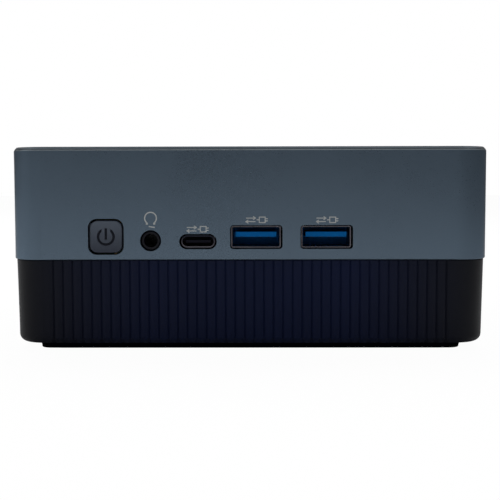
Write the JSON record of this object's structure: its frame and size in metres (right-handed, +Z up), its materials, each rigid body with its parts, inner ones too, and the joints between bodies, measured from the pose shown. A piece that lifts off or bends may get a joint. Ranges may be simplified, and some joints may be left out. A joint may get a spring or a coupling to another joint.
{
  "type": "mini pc",
  "caption": "Small square desktop computer: ribbed black lower shell, metal upper shell with front sockets and power button, lift-off cover, blower and boards inside.",
  "frame": {"origin": "centre of the footprint on the desk, under the rubber feet", "axes": "+X to the right seen from the front, +Y to the rear panel, +Z up; the front panel faces -Y"},
  "size_m": [0.128, 0.127, 0.0545],
  "materials": {
    "shell_metal": "satin anodised, dark blue-grey",
    "cover_metal": "satin anodised, dark blue-grey",
    "black_plastic": "fine matt texture",
    "inner_black": "satin moulded",
    "button_grey": "satin",
    "mark_dark": "satin",
    "foot_rubber": "matt",
    "steel": "drawn sheet",
    "zinc_screw": "zinc plated",
    "brass_part": "turned",
    "gold_contact": "gold plated",
    "blue_plastic": "moulded blue",
    "black_gloss": "moulded black",
    "board_green": "solder mask",
    "board_black": "black solder mask",
    "chip_black": "moulded resin",
    "package_green": "laminate with a bare die",
    "aluminium": "rolled",
    "copper": "bare copper, brushed",
    "filter_mesh": "fine mesh",
    "foam": "closed-cell foam",
    "ribbon_film": "amber polyimide film",
    "tray_steel": "stamped sheet",
    "drive_case": "bead-blasted, dark"
  },
  "bodies": {
    "case": {"antenna_leads": "black_gloss", "antennas": "board_black", "audio_jack": "black_gloss", "base_plate": "black_plastic", "board_spacers": "brass_part", "capacitors": "aluminium", "card_posts": "brass_part", "card_screws": "zinc_screw", "card_sockets": "inner_black", "case_screws": "zinc_screw", "cell_holder": "inner_black", "coin_cell": "steel", "cold_plate": "copper", "cooler_screws": "zinc_screw", "cover_catches": "inner_black", "dc_jack": "black_gloss", "dc_pin": "steel", "drive": "drive_case", "drive_ribbon": "ribbon_film", "drive_screws": "zinc_screw", "drive_tray": "tray_steel", "dust_filter": "filter_mesh", "fan_housing": "inner_black", "fan_motor": "inner_black", "fan_screws": "zinc_screw", "fin_stack": "aluminium", "foot_strips": "foot_rubber", "hdmi_shells": "steel", "hdmi_tongues": "black_gloss", "heat_pipes": "copper", "inductors": "chip_black", "io_panel": "black_plastic", "jack_contact": "gold_contact", "lan_contacts": "gold_contact", "lan_jack": "steel", "lower_shell": "black_plastic", "mainboard": "board_green", "memory_chips": "chip_black", "memory_modules": "board_green", "memory_sockets": "inner_black", "power_switch": "inner_black", "processor": "package_green", "ribbon_socket": "inner_black", "ssd_card": "board_black", "threaded_inserts": "brass_part", "top_shell": "shell_metal", "tray_screws": "zinc_screw", "usb_a_front_shells": "steel", "usb_a_rear_shell": "steel", "usb_a_tongues": "blue_plastic", "usb_c_shells": "steel", "usb_c_tongues": "black_gloss", "usb_contacts": "gold_contact", "wifi_card": "board_black"},
    "cover": {"top_cover": "cover_metal", "cover_pads": "foam"},
    "button": {"power_button": "button_grey", "power_mark": "mark_dark", "switch_plunger": "inner_black"},
    "rotor": {"fan_impeller": "inner_black"}
  },
  "joints": [
    {"name": "cover_lift", "type": "slide", "parent": "case", "child": "cover", "axis": [0, 0, 1], "range_m": [0, 0.04]},
    {"name": "button_press", "type": "slide", "parent": "case", "child": "button", "axis": [0, 1, 0], "range_m": [0, 0.00035], "stiffness_N_per_m": 3000},
    {"name": "fan_spin", "type": "hinge", "parent": "case", "child": "rotor", "pos_m": [0, 0, 0.01155], "axis": [0, 0, 1], "continuous": true}
  ]
}
